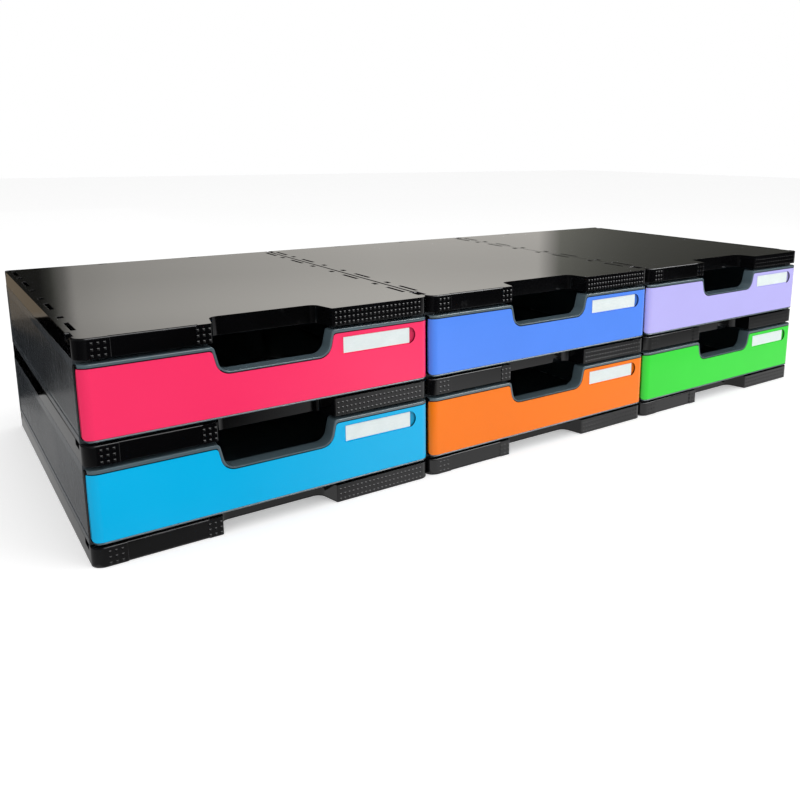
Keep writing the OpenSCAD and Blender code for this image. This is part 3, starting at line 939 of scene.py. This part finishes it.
# %% Lay the floor
FLOOR_GREY = 0.86
FLOOR_GLOW = 0.35
REACH = 9.0
BELOW = -0.0003
floor_finish, tree, shader = new_material("floor_pale")
shader.inputs["Base Color"].default_value = (FLOOR_GREY, FLOOR_GREY, FLOOR_GREY, 1)
shader.inputs["Roughness"].default_value = 0.9
shader.inputs["Specular IOR Level"].default_value = 0.1
seen = node(tree, "ShaderNodeLightPath").outputs["Is Camera Ray"]
glow = node(tree, "ShaderNodeEmission")
tree.links.new(math_node(tree, "MULTIPLY", seen, FLOOR_GLOW), glow.inputs["Strength"])
both = node(tree, "ShaderNodeAddShader")
tree.links.new(shader.outputs["BSDF"], both.inputs[0])
tree.links.new(glow.outputs["Emission"], both.inputs[1])
tree.links.new(both.outputs["Shader"], tree.nodes["Material Output"].inputs["Surface"])

corners = [(-REACH, -REACH, BELOW), (REACH, -REACH, BELOW), (REACH, REACH, BELOW), (-REACH, REACH, BELOW)]
floor_mesh = bpy.data.meshes.new("floor")
floor_mesh.from_pydata(corners, [], [(0, 1, 2, 3)])
floor_mesh.materials.append(floor_finish)
made = placed("floor", floor_mesh)
print("the floor reaches", REACH, "m each way")

# %% [markdown]
# ## Light
# The photograph was taken in soft light from above and from the front right. A picture of a room round the
# scene would give it, but a plain world with two large lamps is easier to judge: the world fills the
# shadows, one lamp hangs over the front and one stands low at the right. The camera sees the world as pure
# white. The gloss sees it as nearly dark, because its reflections are built in the next step.

# %% Set the world and the lamps
WORLD_LEVEL = 0.72
WORLD_LESS_IN_THE_GLOSS = 0.62
world = bpy.data.worlds.new("studio")
bpy.context.scene.world = world
world.use_nodes = True
tree = world.node_tree
backdrop = tree.nodes["Background"]
path = node(tree, "ShaderNodeLightPath")
seen = math_node(tree, "MAXIMUM", path.outputs["Is Camera Ray"], path.outputs["Is Transmission Ray"])
level = spread(tree, seen, 0.0, 1.0, WORLD_LEVEL, 1.0)
less = math_node(tree, "MULTIPLY", path.outputs["Is Glossy Ray"], WORLD_LESS_IN_THE_GLOSS)
tree.links.new(math_node(tree, "SUBTRACT", level, less), backdrop.inputs["Strength"])
backdrop.inputs["Color"].default_value = (1, 1, 1, 1)


def soft_lamp(name, place, aim, width, height, watts):
    lamp = bpy.data.lights.new(name, "AREA")
    lamp.shape = "RECTANGLE"
    lamp.size = width
    lamp.size_y = height
    lamp.energy = watts
    made = placed(name, lamp)
    made.location = place
    made.rotation_euler = (Vector(aim) - Vector(place)).to_track_quat("-Z", "Y").to_euler()
    made.visible_glossy = False
    print(name, watts, "W")


soft_lamp("overhead", (-0.2, -0.9, 2.2), (0, 0, 0.1), 2.4, 1.8, 17.5)
soft_lamp("front_fill", (1.4, -2.2, 0.9), (0.1, 0, 0.1), 1.6, 1.2, 16.5)

# %% [markdown]
# ## What the gloss sees
# Gloss black plastic has almost no colour of its own. What the eye takes for its shape is the reflection of
# the room: the pale far side with a dark end, the floor, and a soft box overhead. Lamps in those places
# would light the whole object, so the room is built of thin sheets that give off light by a colour stored
# on their points, and only glossy rays see them. The levels fade along straight lines between a few steps.

# %% Sheets of light that only the gloss sees
GLOW_LEVELS = "glow"


def ramp(value, *steps):
    """Straight lines between steps of (place, level)."""
    for (low, start), (high, end) in zip(steps, steps[1:]):
        if value <= high:
            return start + (end - start) * max(value - low, 0) / (high - low)
    return steps[-1][1]


def glow_finish():
    """Gives off the colour that is stored on the points of a sheet."""
    finish, tree, shader = new_material("glow_of_the_studio")
    tree.nodes.remove(shader)
    glow = node(tree, "ShaderNodeEmission")
    levels = node(tree, "ShaderNodeAttribute", attribute_name=GLOW_LEVELS)
    tree.links.new(levels.outputs["Color"], glow.inputs["Color"])
    tree.links.new(glow.outputs["Emission"], tree.nodes["Material Output"].inputs["Surface"])
    finish.cycles.emission_sampling = "NONE"
    return finish


GLOW = glow_finish()


def glow_sheet(name, across, along, place, glow):
    """A grid from place(u, v) whose points have the colour glow(u, v)."""
    grid = [(u, v) for v in along for u in across]
    wide = len(across)
    faces = [(row + step, row + step + 1, row + step + 1 + wide, row + step + wide)
             for row in range(0, wide * (len(along) - 1), wide) for step in range(wide - 1)]
    mesh = bpy.data.meshes.new(name)
    mesh.from_pydata([place(u, v) for u, v in grid], [], faces)
    mesh.materials.append(GLOW)
    layer = mesh.attributes.new(GLOW_LEVELS, "FLOAT_COLOR", "POINT")
    layer.data.foreach_set("color", [channel for u, v in grid for channel in (*glow(u, v), 1.0)])
    sheet = placed(name, mesh)
    sheet.visible_camera = False
    sheet.visible_diffuse = False
    sheet.visible_shadow = False
    sheet.visible_transmission = False
    print(name, "points:", len(grid))


def steps_between(low, high, step):
    count = round((high - low) / step)
    return [low + (high - low) * number / count for number in range(count + 1)]


# %% [markdown]
# ### The far side
# The tops mirror what stands behind the object. A flat screen would do for one view, but a bent one that
# stands upright 4 m away also serves the others. Its levels go by compass angle, from straight to the rear
# towards the right: dark up to 7 degrees, pale and slightly warm up to 42, and dark again. The first dark
# part makes the black left corner of the tops.

# %% The far side of the studio, by compass angle
EYE = Vector((-0.611784, -0.892653, 0.351242))
FAR = 4.0
FAR_LOW, FAR_HIGH, FAR_STEP = 0.02, 2.2, 0.08
FAR_LEVELS = ((-40, 0.02), (7.2, 0.02), (7.8, 0.06), (8.6, 0.25), (9.2, 0.5), (12, 0.62), (18, 0.72),
              (24, 0.80), (30, 0.87), (36, 0.86), (41.2, 0.85), (42.8, 0.23), (44, 0.19), (46, 0.145),
              (48, 0.115), (50, 0.10), (55, 0.075), (100, 0.07))
FAR_HEIGHTS = ((0.55, 0.82), (0.65, 0.87), (0.72, 1.02), (0.81, 1.3), (2.2, 1.3))
SCREEN_FROM, SCREEN_TO = 8, 42.1
SCREEN_TINT = (1.0, 0.965, 0.9)
BESIDE_TINT = (1.0, 1.0, 0.88)


def far_place(angle, height):
    turned = math.radians(angle)
    return EYE.x + math.sin(turned) * FAR, EYE.y + math.cos(turned) * FAR, height


def far_glow(angle, height):
    level = ramp(angle, *FAR_LEVELS)
    tint = BESIDE_TINT
    if SCREEN_FROM < angle < SCREEN_TO:
        level *= ramp(height, *FAR_HEIGHTS)
        tint = SCREEN_TINT
    return [level * channel for channel in tint]


far_angles = sorted({step[0] for step in FAR_LEVELS} | set(steps_between(-40, 100, 2)))
glow_sheet("far_side", far_angles, steps_between(FAR_LOW, FAR_HIGH, FAR_STEP), far_place, far_glow)

# %% [markdown]
# ### The floor and the soft box
# The walls and the bands mirror the floor near them, which is warm and dim at the left and white in front.
# A sheet just over the floor has these levels, with a sharp step at the object's own edges, where the floor
# is hidden. The slopes on the rims and studs look up, into a soft box of uneven strength. A small dark
# sheet stands close to the left side, because the lower wall in the photograph mirrors something dark.

# %% The floor, as the gloss sees it
HALF_ROW, HALF_DEPTH = cad_box[1][0], cad_box[1][1]
GLOSS_FLOOR = 0.0008
UNDER_LEVEL = 0.6
BEIGE = (1.0, 0.8, 0.57)
LEFT_AWAY = ((0, 0.40), (0.05, 0.34), (0.15, 0.42), (0.43, 0.16), (0.7, 0.05))
LEFT_ALONG = ((-0.45, 0.15), (-0.2, 0.7), (0.1, 1.0))
LEFT_BEHIND = ((0.45, 0.0), (1.0, 1.0))
BEHIND_LEVEL = 0.21
WHITE_LEVEL = 0.95
BORDER_X, BORDER_Y, BORDER_SLANT = -0.335, -0.277, 0.55
BORDER_WIDTH, BORDER_LEVEL = 0.22, 0.3
FRONT_FAR = ((-0.93, 0.02), (-0.78, 1.0))
FRONT_NEAR = ((-0.3, 0.0), (-0.26, 0.22))
FRONT_RIGHT = ((0.0, 0.0), (0.3, 0.5), (0.8, 0.72))
FRONT_RIGHT_DEEP = ((-0.5, 1.0), (-0.34, 0.0))
RIGHT_AWAY = ((HALF_ROW, 0.3), (1.0, 0.05))


def left_glow(x, y):
    level = ramp(-HALF_ROW - x, *LEFT_AWAY)
    level *= ramp(y, *LEFT_ALONG)
    behind = ramp(y, *LEFT_BEHIND)
    return [level * (1 - behind) + BEHIND_LEVEL * behind * (1 + (channel - 1) * behind) for channel in BEIGE]


def front_level(x, y):
    """White right of a slanting border, and dimmer far away and towards the right."""
    border = BORDER_X + (BORDER_Y - y) * BORDER_SLANT
    level = WHITE_LEVEL * min(max((x - border) / BORDER_WIDTH + BORDER_LEVEL, 0.0), 1.0)
    level *= ramp(y, *FRONT_FAR)
    level = max(level, ramp(y, *FRONT_NEAR))
    return level * (1 - ramp(x, *FRONT_RIGHT) * ramp(y, *FRONT_RIGHT_DEEP))


def floor_glow(x, y):
    if x < -HALF_ROW:
        return left_glow(x, y)
    if y < -HALF_DEPTH:
        return [front_level(x, y)] * 3
    return [ramp(x, *RIGHT_AWAY) if x > HALF_ROW else UNDER_LEVEL] * 3


def floor_steps(edge):
    """Even steps with a double one at each edge of the object, and a few far out."""
    at_edges = {side * edge + step for side in (-1, 1) for step in (-0.0005, 0.0005)}
    return sorted(set(steps_between(-1.6, 1.6, 0.04)) | at_edges | {-4.0, -2.5, 2.5, 4.0})


glow_sheet("floor_in_the_gloss", floor_steps(HALF_ROW), floor_steps(HALF_DEPTH),
           lambda x, y: (x, y, GLOSS_FLOOR), floor_glow)

# %% The soft box and a dark thing, as the gloss sees them
BOX_HEIGHT = 2.2
BOX_ACROSS = ((-0.9, 0.5), (-0.6, 2.5), (0.3, 4.5), (1.5, 9.0), (3.0, 8.0), (3.4, 0.5))
BOX_ALONG = ((-2.9, 0.5), (-2.6, 1.0), (-0.6, 1.0), (-0.3, 0.5))


def soft_box_glow(x, y):
    return [ramp(x, *BOX_ACROSS) * ramp(y, *BOX_ALONG)] * 3


glow_sheet("soft_box_in_the_gloss", steps_between(-0.9, 3.4, 0.1), steps_between(-2.9, -0.3, 0.1),
           lambda x, y: (x, y, BOX_HEIGHT), soft_box_glow)
glow_sheet("dark_thing_at_the_left", (-0.66, -0.512), (0.0, 0.114),
           lambda x, z: (x, 0.34, z), lambda x, z: (0, 0, 0))

# %% [markdown]
# ## Camera
# The place, the turn and the focal length were fitted to the straight edges in the photograph. A camera
# placed by eye and aimed at the object would come close, but the fit also gives the small shift of the lens
# that a cropped picture needs. The frame is square, 800 by 800.

# %% Place the camera
FRAME = 800
SENSOR = 36.0
FOCAL = 787.396
AXIS_X, AXIS_Y = 468.475, 310.344
FORWARD = Vector((0.57773623, 0.79095018, -0.20154074))
RIGHT = Vector((0.80831764, -0.58870821, 0.00672577))
lens = bpy.data.cameras.new("camera")
lens.sensor_width = SENSOR
lens.lens = FOCAL * SENSOR / FRAME
lens.shift_x = (FRAME / 2 - AXIS_X) / FRAME
lens.shift_y = (AXIS_Y - FRAME / 2) / FRAME
lens.clip_start = 0.01
camera = placed("camera", lens)
up = RIGHT.cross(FORWARD)
turned = camera.matrix_world.copy()
for row in range(3):
    for column, value in enumerate((RIGHT[row], up[row], -FORWARD[row], EYE[row])):
        turned[row][column] = value
camera.matrix_world = turned
bpy.context.scene.camera = camera
bpy.context.scene.view_settings.view_transform = "Standard"
print("lens", round(lens.lens, 2), "mm")

# %% [markdown]
# ## The box of the CAD
# The dressed object must stay inside the box of the CAD. It could be checked by eye, but a stud that sticks
# out by half a millimetre can't be seen. This step prints the box of the CAD.

# %% Print the box of the CAD
print("cad   ", [[round(value, 5) for value in corner] for corner in cad_box])
